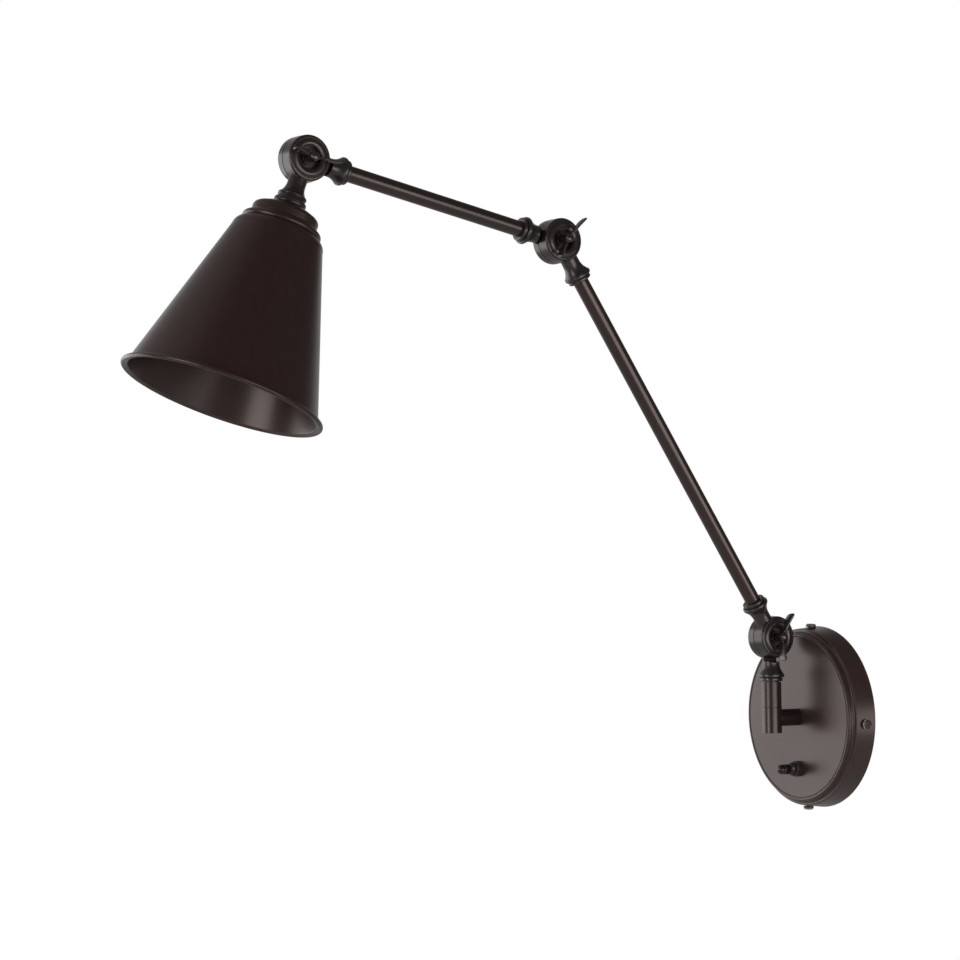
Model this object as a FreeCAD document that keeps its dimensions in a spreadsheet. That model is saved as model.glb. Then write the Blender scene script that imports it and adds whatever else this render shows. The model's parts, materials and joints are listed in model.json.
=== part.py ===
import FreeCAD, Part
import math
import os
import re
import Sketcher

# Articulating wall lamp: a round canopy, a swivelling barrel, two arms and a cone shade.
# Millimetres. The wall is the plane Y = 0 and the lamp stands out of it towards -Y.
# +Z is up, and the origin is the centre of the canopy on the wall. Every piece is
# drawn in a frame of its own and put in place in the pose of the photograph.

V = FreeCAD.Vector
X_AXIS, Y_AXIS, Z_AXIS = V(1, 0, 0), V(0, 1, 0), V(0, 0, 1)

SIZES = {
    # Pose of the photograph, degrees.
    "swivel_angle": 4.2,
    "long_arm_angle": 56.0,
    "short_arm_angle": 10.6,
    "shade_angle": 69.7,
    "short_arm_twist": 2.3,
    # Arms, from knuckle centre to knuckle centre.
    "long_arm_length": 303.0,
    "short_arm_length": 184.5,
    "tube_radius": 5.0,
    "tube_wall": 1.0,
    # Canopy cover, a spun steel dish.
    "canopy_radius": 60.3,
    "canopy_taper": 1.6,
    "canopy_edge_round": 0.8,
    "canopy_ledge_width": 1.3,
    "cove_width": 1.5,
    "cove_rise": 2.4,
    "bead_width": 2.2,
    "bead_rise": 0.2,
    "groove_width": 0.7,
    "groove_depth": 0.35,
    "canopy_depth": 17.7,
    "canopy_edge_step": 3.8,
    "sheet_wall": 1.0,
    # Side screws of the canopy, and the steel plate behind it.
    "side_screw_depth": 7.2,
    "side_screw_turn": 3.0,
    "screw_radius": 1.95,
    "screw_head_radius": 3.4,
    "screw_head_height": 2.1,
    "screw_length": 7.5,
    "screw_clearance": 0.25,
    "recess_length": 4.0,
    "recess_width": 0.9,
    "recess_depth": 1.3,
    "plate_margin": 5.3,
    "plate_wall": 1.5,
    "tab_width": 12.0,
    "tab_height": 11.5,
    "tab_gap": 0.5,
    "wire_hole_radius": 15.0,
    "box_screw_spacing": 88.9,
    "box_slot_length": 14.0,
    "box_slot_width": 5.0,
    "ground_screw_radius": 2.1,
    "ground_screw_place": 26.0,
    "ground_head_flats": 8.0,
    "ground_head_height": 3.0,
    # Post and fixed barrel.
    "post_radius": 5.6,
    "post_bore": 3.2,
    "post_thread_radius": 4.9,
    "post_thread_end": 8.0,
    "post_nut_flats": 14.0,
    "post_nut_height": 4.0,
    "post_washer_radius": 8.5,
    "washer_wall": 1.0,
    "barrel_reach": 38.3,
    "barrel_radius": 6.5,
    "barrel_bore": 4.0,
    "barrel_bottom": 9.9,
    "barrel_joint": 6.9,
    "barrel_top": 23.8,
    "plug_height": 3.0,
    "knuckle_height": 53.5,
    # Swivel inside the barrel.
    "stud_radius": 3.0,
    "stud_bore": 1.8,
    "stud_length": 14.0,
    "swivel_floor": 2.4,
    "swivel_bore": 5.1,
    "swivel_nut_flats": 8.4,
    "swivel_nut_height": 3.0,
    "swivel_washer_wall": 0.6,
    "stop_pin_radius": 0.6,
    "stop_pin_place": 4.6,
    "stop_pin_rise": 1.1,
    "stop_slot_depth": 1.4,
    "swivel_sweep": 180.0,
    "spigot_length": 5.5,
    # Switch.
    "switch_drop": 34.3,
    "switch_width": 17.0,
    "switch_height": 15.0,
    "switch_depth": 9.5,
    "bushing_radius": 3.9,
    "bushing_rise": 4.6,
    "ring_nut_radius": 5.2,
    "ring_nut_height": 4.2,
    "ring_nut_notch": 0.35,
    "knob_radius": 3.3,
    "knob_skirt_radius": 4.3,
    "knob_skirt_height": 1.4,
    "knob_length": 12.0,
    "knob_shaft_radius": 1.5,
    # Knuckles: two cupped discs that turn on a wing screw.
    "knuckle_radius": 14.05,
    "back_half_width": 8.0,
    "front_half_width": 7.7,
    "front_taper": 0.35,
    "parting_back": 1.5,
    "parting_front": 0.7,
    "back_shank_offset": 0.5,
    "front_shank_offset": 1.5,
    "cup_radius": 10.3,
    "back_boss_radius": 5.0,
    "front_boss_radius": 4.3,
    "back_cup_floor": 4.6,
    "front_cup_floor": 2.6,
    "back_round": 2.0,
    "front_round": 1.5,
    "face_groove_radius": 11.8,
    "face_groove_width": 0.5,
    "face_groove_depth": 0.45,
    "lip_rise": 0.85,
    "recess_radius": 7.0,
    "recess_floor": 3.8,
    "face_boss_height": 1.6,
    "relief_radius": 16.9,
    "insert_radius": 3.4,
    "insert_length": 4.5,
    "wing_screw_radius": 2.5,
    "thrust_washer_radius": 4.2,
    "thrust_washer_wall": 0.6,
    # Turned shank of a knuckle half.
    "neck_radius": 5.6,
    "neck_end": 17.2,
    "bell_end": 24.2,
    "bell_radius": 8.2,
    "ring_radius": 8.65,
    "ring_end": 26.7,
    "ring_round": 0.9,
    "small_ring_radius": 7.5,
    "small_ring_end": 29.2,
    "small_ring_round": 0.7,
    "tube_socket": 9.5,
    "back_wire_offset": 3.2,
    "front_wire_offset": 0.95,
    "wire_bore": 1.4,
    "lead_radius": 1.15,
    # Wing screw.
    "hub_radius": 3.0,
    "hub_end": 15.2,
    "hub_round": 2.6,
    "wing_span": 16.0,
    "wing_thickness": 1.5,
    "wing_root_low": 10.8,
    "wing_root_high": 15.6,
    "wing_low_reach": 13.4,
    "wing_low_height": 12.3,
    "wing_top_reach": 14.4,
    "wing_top_height": 20.0,
    "wing_swoop": 15.0,
    "base_wing_angle": 104.0,
    "elbow_wing_angle": 126.5,
    "head_wing_angle": 11.0,
    # Shade stack, along the shade's axis from the head knuckle's centre.
    "head_neck_end": 27.3,
    "head_ring_radius": 8.75,
    "collar_radius": 9.75,
    "collar_end": 30.8,
    "collar_round": 0.9,
    "cap_top_radius": 17.6,
    "cap_shoulder": 34.4,
    "cap_radius": 20.1,
    "cap_side_start": 36.8,
    "cap_end": 40.6,
    "bead_ring_radius": 23.7,
    "bead_ring_end": 46.6,
    "bead_ring_bore": 17.2,
    "bead_ring_round": 2.2,
    "shade_hole_radius": 16.5,
    "shoulder_radius": 24.2,
    "shoulder_round": 6.5,
    "cone_start_radius": 27.9,
    "cone_start": 52.2,
    "cone_end_radius": 57.9,
    "cone_end": 151.0,
    "shade_wall": 1.0,
    "rim_bead_radius": 1.5,
    # Lamp holder.
    "holder_radius": 16.0,
    "holder_start": 36.6,
    "holder_end": 72.0,
    "holder_wall": 1.6,
    "holder_floor": 4.0,
    "shell_radius": 13.3,
    "shell_wall": 0.5,
    "shell_start": 46.0,
    "contact_radius": 4.2,
    "shade_nut_radius": 21.0,
    "shade_nut_height": 3.2,
    "head_nipple_radius": 4.95,
    "head_nipple_bore": 3.2,
    "head_nut_height": 3.4,
    # Clearances.
    "running": 0.05,
    "face_gap": 0.05,
    "slip": 0.1,
}

doc = FreeCAD.newDocument("WallLamp")
sheet = doc.addObject("Spreadsheet::Sheet", "Sizes")
for row, (alias, value) in enumerate(SIZES.items(), start=1):
    sheet.set(f"A{row}", alias)
    sheet.set(f"B{row}", str(value))
    sheet.setAlias(f"B{row}", alias)
doc.recompute()

PIECES = []


def in_sheet(expression):
    """Writes an expression of size names as one that reads the sheet's cells."""
    return re.sub(r"[a-z][a-z_]*", lambda word: ("Sizes." if word.group() in SIZES else "") + word.group(),
                  expression)


def size(expression):
    """Value of an expression of size names."""
    result = sheet.evalExpression(in_sheet(expression))
    return float(getattr(result, "Value", result))


def bind(thing, **sizes):
    """Binds properties of an object to expressions of size names."""
    for name, expression in sizes.items():
        thing.setExpression(name, in_sheet(expression))


def frame(origin, axis, side):
    """Placement with its Z along axis and its X as near to side as that allows."""
    return FreeCAD.Placement(origin, FreeCAD.Rotation(side, axis.cross(side), axis, "ZXY"))


def piece(thing, name, place=None):
    """Names a finished sub-part and puts it in its place."""
    thing.Label = name
    if place is not None:
        thing.Placement = place
    PIECES.append(thing)
    return thing


# Sketches and the features made from them.

def left(radius):
    """An arc to the next point that turns left."""
    return radius, 1


def right(radius):
    """An arc to the next point that turns right."""
    return radius, -1


def tangent_radius(along, across):
    """Radius of an arc that leaves a line tangentially and ends along and across from there."""
    return f"(({along})^2 + ({across})^2) / (2 * ({across}))"


def new_sketch(body, name, role, shift_x="0", shift_y="0"):
    """Empty sketch on one of a body's own origin planes, its origin shifted in that plane."""
    sketch = body.newObject("Sketcher::SketchObject", name)
    plane = next(item for item in body.Origin.OriginFeatures if item.Role == role)
    sketch.AttachmentSupport = (plane, [""])
    sketch.MapMode = "FlatFace"
    sketch.setExpression("AttachmentOffset.Base.x", in_sheet(f"({shift_x}) * 1 mm"))
    sketch.setExpression("AttachmentOffset.Base.y", in_sheet(f"({shift_y}) * 1 mm"))
    return sketch


def arc_centre(start, end, radius, turn):
    """Expressions for the centre of an arc between two points."""
    (ax, ay), (bx, by) = start, end
    chord = f"sqrt((({bx}) - ({ax}))^2 + (({by}) - ({ay}))^2)"
    rise = f"sqrt(abs(({radius})^2 - ({chord})^2 / 4)) / {chord} * {turn}"
    return (f"(({ax}) + ({bx})) / 2 - (({by}) - ({ay})) * {rise}",
            f"(({ay}) + ({by})) / 2 + (({bx}) - ({ax})) * {rise}")


def outline(body, name, role, points, shift_x="0", shift_y="0"):
    """Closed outline of lines and arcs, each corner bound to the sheet.

    A point is (x, y), or (x, y, left(radius)) or (x, y, right(radius)) where an arc
    runs from it to the next point.
    """
    sketch = new_sketch(body, name, role, shift_x, shift_y)
    corners = [V(size(point[0]), size(point[1]), 0) for point in points]
    count = len(points)
    curves, ends, constraints, expressions = [], [], [], []
    for index, point in enumerate(points):
        start, end = corners[index], corners[(index + 1) % count]
        if len(point) == 2:
            curves.append(Part.LineSegment(start, end))
            ends.append((1, 2))
            continue
        radius, turn = point[2]
        following = points[(index + 1) % count]
        centre_x, centre_y = arc_centre(point[:2], following[:2], radius, turn)
        centre = V(size(centre_x), size(centre_y), 0)
        circle = Part.Circle(centre, Z_AXIS, start.distanceToPoint(centre))
        first = math.atan2(start.y - centre.y, start.x - centre.x)
        last = math.atan2(end.y - centre.y, end.x - centre.x)
        curves.append(Part.ArcOfCircle(circle, *((first, last) if turn > 0 else (last, first))))
        ends.append((1, 2) if turn > 0 else (2, 1))
        if abs(end.y - start.y) > abs(end.x - start.x):
            expressions.append(("DistanceX", index, 3, centre.x, centre_x))
        else:
            expressions.append(("DistanceY", index, 3, centre.y, centre_y))
    for index, point in enumerate(points):
        following = (index + 1) % count
        constraints.append(Sketcher.Constraint("Coincident", index, ends[index][1], following, ends[following][0]))
        expressions.append(("DistanceX", index, ends[index][0], corners[index].x, point[0]))
        expressions.append(("DistanceY", index, ends[index][0], corners[index].y, point[1]))
    for kind, curve, vertex, value, _ in expressions:
        constraints.append(Sketcher.Constraint(kind, -1, 1, curve, vertex, value))
    sketch.addGeometry(curves, False)
    sketch.addConstraint(constraints)
    for index, entry in enumerate(expressions, start=count):
        sketch.setExpression(f"Constraints[{index}]", in_sheet(entry[4]))
    return sketch


def circles(body, name, role, places, radius, shift_x="0", shift_y="0"):
    """Sketch of equal circles at the given centres."""
    sketch = new_sketch(body, name, role, shift_x, shift_y)
    for curve, (x, y) in enumerate(places):
        sketch.addGeometry(Part.Circle(V(size(x), size(y), 0), Z_AXIS, size(radius)), False)
        sketch.addConstraint([Sketcher.Constraint("Radius", curve, size(radius)),
                              Sketcher.Constraint("DistanceX", -1, 1, curve, 3, size(x)),
                              Sketcher.Constraint("DistanceY", -1, 1, curve, 3, size(y))])
        for offset, expression in enumerate((radius, x, y)):
            sketch.setExpression(f"Constraints[{3 * curve + offset}]", in_sheet(expression))
    return sketch


def turn(body, name, sketch, cut=False, axis="V_Axis", angle=None):
    """Revolves a sketch about one of its axes, to add material or to cut it."""
    feature = body.newObject("PartDesign::Groove" if cut else "PartDesign::Revolution", name)
    feature.Profile = (sketch, [""])
    feature.ReferenceAxis = (sketch, [axis])
    feature.Angle = 360
    if angle is not None:
        feature.Midplane = True
        bind(feature, Angle=angle)
    return feature


def cut_through(body, name, sketch):
    """Cuts a sketch through the body both ways."""
    feature = body.newObject("PartDesign::Pocket", name)
    feature.Profile = (sketch, [""])
    feature.Type = "ThroughAll"
    feature.Midplane = True
    return feature


def cut_down(body, name, sketch, depth, reverse=False):
    """Cuts a sketch to a depth on one side of its plane."""
    feature = body.newObject("PartDesign::Pocket", name)
    feature.Profile = (sketch, [""])
    feature.Reversed = reverse
    bind(feature, Length=depth)
    return feature


def new_body(name):
    return doc.addObject("PartDesign::Body", name)


def turned(name, points, place):
    """A piece turned about its own Z from one outline of radius and height."""
    body = new_body(name)
    turn(body, name + "_turned", outline(body, name + "_outline", "XZ_Plane", points))
    return piece(body, name, place)


def sleeve(name, place, inner, outer, low, high):
    """A plain tube, washer or bush between two heights."""
    return turned(name, [(inner, low), (outer, low), (outer, high), (inner, high)], place)


def solid(kind, place, **sizes):
    """A Part primitive with its sizes bound to the sheet."""
    thing = doc.addObject(kind)
    bind(thing, **sizes)
    thing.Placement = place
    return thing


def shifted(place, x="0", y="0", z="0"):
    """A placement moved along its own axes."""
    return place.multiply(FreeCAD.Placement(V(size(x), size(y), size(z)), FreeCAD.Rotation()))


def hex_nut(name, place, flats, bore, low, height):
    """A hexagon nut that starts at a height on its axis."""
    start = shifted(place, z=low)
    prism = solid("Part::Prism", start, Circumradius=f"{flats} / sqrt(3)", Height=height)
    prism.Polygon = 6
    hole = solid("Part::Cylinder", start, Radius=bore, Height=height)
    nut = doc.addObject("Part::Cut")
    nut.Base = prism
    nut.Tool = hole
    return piece(nut, name)


def rounded_end(radius, low, high, rounding):
    """Outline corners of a disc of a given radius with both edges rounded, going up."""
    return [(f"{radius} - {rounding}", low, left(rounding)), (radius, f"{low} + {rounding}"),
            (radius, f"{high} - {rounding}", left(rounding)), (f"{radius} - {rounding}", high)]


# Places of the joints in the pose of the photograph.

swivel = math.radians(size("swivel_angle"))
OUTWARD = V(math.sin(swivel), -math.cos(swivel), 0)
KNUCKLE_AXIS = V(math.cos(swivel), math.sin(swivel), 0)


def arm_direction(angle):
    """Direction at an angle above the horizontal, in the plane that the arms move in."""
    turned_by = math.radians(angle)
    return OUTWARD * math.cos(turned_by) + Z_AXIS * math.sin(turned_by)


LONG_ARM = arm_direction(size("long_arm_angle"))
SHORT_ARM = arm_direction(size("short_arm_angle"))

# The short arm is screwed together a little out of line, so the head's plane is turned about it.
TWIST = FreeCAD.Rotation(-SHORT_ARM, size("short_arm_twist"))
HEAD_AXIS = TWIST.multVec(KNUCKLE_AXIS)
SHADE = TWIST.multVec(arm_direction(-size("shade_angle")))

WALL = frame(V(0, 0, 0), -Y_AXIS, X_AXIS)
BARREL = frame(V(0, -size("barrel_reach"), 0), Z_AXIS, OUTWARD)
BASE = BARREL.Base + Z_AXIS * size("knuckle_height") + KNUCKLE_AXIS * size("back_shank_offset")
ELBOW = BASE + LONG_ARM * size("long_arm_length")
HEAD = (ELBOW + SHORT_ARM * size("short_arm_length")
        + (HEAD_AXIS - KNUCKLE_AXIS) * size("back_shank_offset"))
SHADE_AXIS = frame(HEAD + HEAD_AXIS * size("front_shank_offset"), SHADE, HEAD_AXIS)


# Canopy: the cover that hides the junction box, and the plate that carries it.

CANOPY_EDGE = "canopy_radius - canopy_taper"
CANOPY_EDGE_DEPTH = "canopy_depth - canopy_edge_step"


def quarter_turns():
    """Frames at the centre of the canopy whose X points at each of its four side screws."""
    first = -size("side_screw_turn")
    return [FreeCAD.Placement(V(0, 0, 0), FreeCAD.Rotation(-Y_AXIS, 90 * step + first)).multiply(WALL)
            for step in range(4)]


def canopy_cover():
    """Spun steel dish with a stepped and beaded edge, open at the wall."""
    body = new_body("canopy_cover")
    edge, depth = CANOPY_EDGE, CANOPY_EDGE_DEPTH
    ledge = f"{edge} - canopy_ledge_width"
    cove = f"{ledge} - cove_width"
    cove_depth = f"{depth} + cove_rise"
    bead = f"{cove} - 0.5 * bead_width"
    field = f"{cove} - bead_width"
    groove_floor = "canopy_depth - groove_depth"
    profile = [
        ("canopy_radius - sheet_wall", "0"),
        ("canopy_radius", "0"),
        (edge, f"{depth} - canopy_edge_round", left("canopy_edge_round")),
        (f"{edge} - canopy_edge_round", depth),
        (ledge, depth, right(tangent_radius("cove_width", "cove_rise"))),
        (cove, cove_depth, left("0.9 * bead_width")),
        (bead, "canopy_depth + bead_rise", left("0.9 * bead_width")),
        (field, "canopy_depth"),
        (f"{field} - 0.3 * groove_width", groove_floor),
        (f"{field} - 0.7 * groove_width", groove_floor),
        (f"{field} - groove_width", "canopy_depth"),
        ("post_thread_radius + screw_clearance", "canopy_depth"),
        ("post_thread_radius + screw_clearance", "canopy_depth - sheet_wall"),
        (f"{field} - groove_width - sheet_wall", "canopy_depth - sheet_wall"),
        (f"{field} - groove_width", f"{groove_floor} - sheet_wall"),
        (f"{cove} - sheet_wall", f"{cove_depth} - sheet_wall"),
        (f"{ledge} - sheet_wall", f"{depth} - sheet_wall"),
        (f"{edge} - sheet_wall", f"{depth} - sheet_wall"),
    ]
    turn(body, "canopy_spun", outline(body, "canopy_outline", "XZ_Plane", profile))
    # The cover is turned with its side screws, so the switch hole is turned back.
    turned_back = "side_screw_turn * 1 deg"
    switch_place = (f"switch_drop * sin({turned_back})", f"-switch_drop * cos({turned_back})")
    switch_hole = circles(body, "canopy_switch_hole", "XY_Plane", [switch_place],
                          "bushing_radius + screw_clearance")
    cut_through(body, "canopy_switch_cut", switch_hole)
    for role in ("XZ_Plane", "YZ_Plane"):
        side_holes = circles(body, f"canopy_side_{role}", role, [("0", "side_screw_depth")],
                             "screw_radius + screw_clearance")
        cut_through(body, f"canopy_side_cut_{role}", side_holes)
    return piece(body, "canopy_cover", quarter_turns()[0])


def mounting_plate():
    """Steel plate on the wall box: four bent tabs for the side screws, slots and a wire hole."""
    tab_outer = f"{CANOPY_EDGE} - sheet_wall - tab_gap"
    plate_radius = f"{tab_outer} - plate_margin"
    parts = [solid("Part::Cylinder", WALL, Radius=plate_radius, Height="plate_wall")]
    holes = [solid("Part::Cylinder", WALL, Radius="wire_hole_radius", Height="plate_wall")]
    for turned_frame in quarter_turns():
        foot = shifted(turned_frame, y="-tab_width / 2")
        parts.append(solid("Part::Box", foot, Length=tab_outer, Width="tab_width", Height="plate_wall"))
        wall_start = shifted(foot, x=f"{tab_outer} - plate_wall")
        parts.append(solid("Part::Box", wall_start, Length="plate_wall", Width="tab_width", Height="tab_height"))
        bore = shifted(turned_frame, x=plate_radius, z="side_screw_depth")
        bore.Rotation = bore.Rotation.multiply(FreeCAD.Rotation(Y_AXIS, 90))
        holes.append(solid("Part::Cylinder", bore, Radius="screw_radius + running", Height="canopy_radius"))
    slot_straight = "(box_slot_length - box_slot_width) / 2"
    for side in ("box_screw_spacing / 2", "-box_screw_spacing / 2"):
        for end in (slot_straight, "-" + slot_straight):
            holes.append(solid("Part::Cylinder", shifted(WALL, x=f"{side} + {end}"),
                               Radius="box_slot_width / 2", Height="plate_wall"))
        corner = shifted(WALL, x=f"{side} - {slot_straight}", y="-box_slot_width / 2")
        holes.append(solid("Part::Box", corner, Length=f"2 * {slot_straight}", Width="box_slot_width",
                           Height="plate_wall"))
    ground = shifted(WALL, x="-ground_screw_place", y="ground_screw_place")
    holes.append(solid("Part::Cylinder", ground, Radius="ground_screw_radius + running", Height="plate_wall"))
    body = doc.addObject("Part::MultiFuse")
    body.Shapes = parts
    cutter = doc.addObject("Part::MultiFuse")
    cutter.Shapes = holes
    plate = doc.addObject("Part::Cut")
    plate.Base = body
    plate.Tool = cutter
    return piece(plate, "mounting_plate")


def side_screws():
    """Four pan-head screws through the canopy's side into the plate's tabs."""
    screws = []
    # The side tapers, so a head seats where the side is widest under it.
    seat = (f"canopy_radius - canopy_taper * (side_screw_depth - screw_head_radius)"
            f" / ({CANOPY_EDGE_DEPTH} - canopy_edge_round)")
    for index, turned_frame in enumerate(quarter_turns()):
        body = new_body(f"side_screw_{index}")
        head_top = "screw_head_height"
        points = [("0", "-screw_length"), ("screw_radius", "-screw_length"), ("screw_radius", "slip"),
                  ("screw_head_radius", "slip"),
                  ("screw_head_radius", f"0.45 * {head_top}", left(f"0.6 * {head_top}")),
                  (f"screw_head_radius - 0.5 * {head_top}", head_top), ("0", head_top)]
        turn(body, f"side_screw_turned_{index}", outline(body, f"side_screw_outline_{index}", "XZ_Plane", points))
        half, arm = "recess_width / 2", "recess_length / 2"
        cross = [(half, half), (arm, half), (arm, "-" + half), (half, "-" + half), (half, "-" + arm),
                 ("-" + half, "-" + arm), ("-" + half, "-" + half), ("-" + arm, "-" + half), ("-" + arm, half),
                 ("-" + half, half), ("-" + half, arm), (half, arm)]
        recess = outline(body, f"side_screw_cross_{index}", "XY_Plane", cross)
        recess.setExpression("AttachmentOffset.Base.z", in_sheet("(screw_head_height - recess_depth) * 1 mm"))
        cut_down(body, f"side_screw_recess_{index}", recess, "2 * recess_depth", reverse=True)
        radial = shifted(turned_frame, x=seat, z="side_screw_depth")
        radial.Rotation = radial.Rotation.multiply(FreeCAD.Rotation(Y_AXIS, 90))
        body.Placement = radial
        screws.append(body)
    group = doc.addObject("Part::Compound")
    group.Links = screws
    return piece(group, "canopy_screws")


def ground_screw():
    """Hexagon-head earth screw in the mounting plate."""
    place = shifted(WALL, x="-ground_screw_place", y="ground_screw_place")
    head = solid("Part::Prism", shifted(place, z="plate_wall"), Circumradius="ground_head_flats / sqrt(3)",
                 Height="ground_head_height")
    head.Polygon = 6
    shank = solid("Part::Cylinder", place, Radius="ground_screw_radius", Height="plate_wall + slip")
    screw = doc.addObject("Part::Fuse")
    screw.Base = head
    screw.Tool = shank
    return piece(screw, "ground_screw")


# Post and fixed barrel.

def post():
    """Horizontal post with a threaded end that passes through the canopy, its nut and its washer."""
    body = new_body("post_tube")
    points = [("post_bore", "post_thread_end"), ("post_thread_radius", "post_thread_end"),
              ("post_thread_radius", "canopy_depth"), ("post_radius", "canopy_depth"),
              ("post_radius", "barrel_reach"), ("post_bore", "barrel_reach")]
    turn(body, "post_turned", outline(body, "post_outline", "XZ_Plane", points))
    saddle = circles(body, "post_saddle", "XZ_Plane", [("0", "barrel_reach")], "barrel_radius")
    # The barrel runs up and down, so its circle is drawn looking along the post's own Y.
    cut_through(body, "post_saddle_cut", saddle)
    piece(body, "post_tube", WALL)
    inside = "canopy_depth - sheet_wall"
    sleeve("post_washer", WALL, "post_thread_radius + slip", "post_washer_radius",
           f"{inside} - washer_wall", inside)
    hex_nut("post_nut", WALL, "post_nut_flats", "post_thread_radius + running",
            f"{inside} - washer_wall - post_nut_height", "post_nut_height")


def fixed_barrel():
    """Lower part of the barrel, brazed to the post, with a plug in its foot."""
    body = new_body("fixed_barrel")
    plug_top = "plug_height - barrel_bottom"
    points = [("barrel_bore + slip", "-barrel_bottom"), ("barrel_radius", "-barrel_bottom"),
              ("barrel_radius", "barrel_joint"), ("stud_radius + running", "barrel_joint"),
              ("stud_radius + running", "barrel_bore"), ("barrel_bore", "barrel_bore"),
              ("barrel_bore", plug_top), ("barrel_bore + slip", plug_top)]
    turn(body, "fixed_barrel_turned", outline(body, "fixed_barrel_outline", "XZ_Plane", points))
    side = circles(body, "fixed_barrel_side", "YZ_Plane", [("0", "0")], "post_bore")
    cut_down(body, "fixed_barrel_side_cut", side, "2 * barrel_radius")
    pin_hole = circles(body, "fixed_barrel_pin_hole", "XY_Plane", [("-stop_pin_place", "0")],
                       "stop_pin_radius + running")
    pin_hole.setExpression("AttachmentOffset.Base.z", in_sheet("barrel_joint * 1 mm"))
    cut_down(body, "fixed_barrel_pin_cut", pin_hole, "barrel_joint - barrel_bore - slip")
    piece(body, "fixed_barrel", frame(BARREL.Base, Z_AXIS, -Y_AXIS))
    turned("barrel_plug", [("0", "-barrel_bottom"), ("barrel_bore", "-barrel_bottom"),
                           ("barrel_bore", plug_top), ("0", plug_top)], BARREL)


# Swivel: a hollow stud in the fixed barrel carries the turning barrel.

def swivel_parts():
    """Stud, washer, nut and stop pin of the swivel, and the barrel that turns on them."""
    stud_start = "barrel_bore + slip"
    floor_low = "barrel_joint + slip"
    floor_high = f"{floor_low} + swivel_floor"
    washer_high = f"{floor_high} + face_gap + swivel_washer_wall"
    sleeve("swivel_stud", BARREL, "stud_bore", "stud_radius", stud_start, "stud_length")
    sleeve("swivel_washer", BARREL, "stud_radius + running", "swivel_bore - 2 * slip",
           f"{floor_high} + face_gap", washer_high)
    hex_nut("swivel_nut", BARREL, "swivel_nut_flats", "stud_radius + running", washer_high, "swivel_nut_height")
    pin = frame(BARREL.Base - V(0, -size("stop_pin_place"), 0), Z_AXIS, X_AXIS)
    sleeve("stop_pin", pin, "0", "stop_pin_radius", "barrel_bore + 2 * slip", "barrel_joint + stop_pin_rise")

    body = new_body("swivel_barrel")
    points = [("stud_radius + running", floor_low), ("barrel_radius", floor_low), ("barrel_radius", "barrel_top"),
              ("swivel_bore", "barrel_top"), ("swivel_bore", floor_high), ("stud_radius + running", floor_high)]
    turn(body, "swivel_barrel_turned", outline(body, "swivel_barrel_outline", "XZ_Plane", points))
    slot_low, slot_high = "stop_pin_place - stop_pin_radius - slip", "stop_pin_place + stop_pin_radius + slip"
    slot = [(slot_low, f"{floor_low} - slip"), (slot_high, f"{floor_low} - slip"),
            (slot_high, f"{floor_low} + stop_slot_depth"), (slot_low, f"{floor_low} + stop_slot_depth")]
    # The slot is the sweep of the pin, plus the pin's own width and a little room.
    room = "2 * atan(stop_pin_radius / stop_pin_place) + 4 deg"
    turn(body, "swivel_stop_slot", outline(body, "swivel_slot_outline", "XZ_Plane", slot), cut=True,
         angle=f"swivel_sweep * 1 deg + {room}")
    piece(body, "swivel_barrel", frame(BARREL.Base, Z_AXIS, -OUTWARD))


# Knuckle halves, each one casting with its turned shank.

SHANK_START = "face_groove_radius + slip"


def back_face():
    """Radius and height corners of a back half: closed outer face, cup and threaded boss."""
    face = "-back_half_width"
    groove_in = "face_groove_radius - face_groove_width"
    insert_floor = "-parting_back - insert_length"
    return [
        ("0", face), (groove_in, face), (groove_in, f"{face} + face_groove_depth"),
        ("face_groove_radius", f"{face} + face_groove_depth"), ("face_groove_radius", face),
        ("knuckle_radius - back_round", face, left("back_round")),
        ("knuckle_radius", f"{face} + back_round"), ("knuckle_radius", "-parting_back"),
        ("cup_radius", "-parting_back"), ("cup_radius", "-back_cup_floor"),
        ("back_boss_radius", "-back_cup_floor"), ("back_boss_radius", "-parting_back"),
        ("insert_radius", "-parting_back"), ("insert_radius", insert_floor), ("0", insert_floor),
    ]


def front_face():
    """Radius and height corners of a front half: raised lip round a recess, cup and bored boss."""
    face, rim = "front_half_width", "(knuckle_radius - front_taper)"
    groove_in = "face_groove_radius - face_groove_width"
    bore = "wing_screw_radius + running"
    lip = left(tangent_radius(f"({groove_in} - recess_radius) / 2", "lip_rise"))
    return [
        (bore, "-parting_front"), ("front_boss_radius", "-parting_front"), ("front_boss_radius", "front_cup_floor"),
        ("cup_radius", "front_cup_floor"), ("cup_radius", "-parting_front"), ("knuckle_radius", "-parting_front"),
        (rim, f"{face} - front_round", left("front_round")), (f"{rim} - front_round", face),
        ("face_groove_radius", face), ("face_groove_radius", f"{face} - face_groove_depth"),
        (groove_in, f"{face} - face_groove_depth"), (groove_in, face, lip), ("recess_radius", face),
        ("recess_radius", "recess_floor"), ("front_boss_radius", "recess_floor"),
        ("front_boss_radius", "recess_floor + face_boss_height - 0.4"),
        ("front_boss_radius - 0.4", "recess_floor + face_boss_height"), (bore, "recess_floor + face_boss_height"),
    ]


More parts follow.
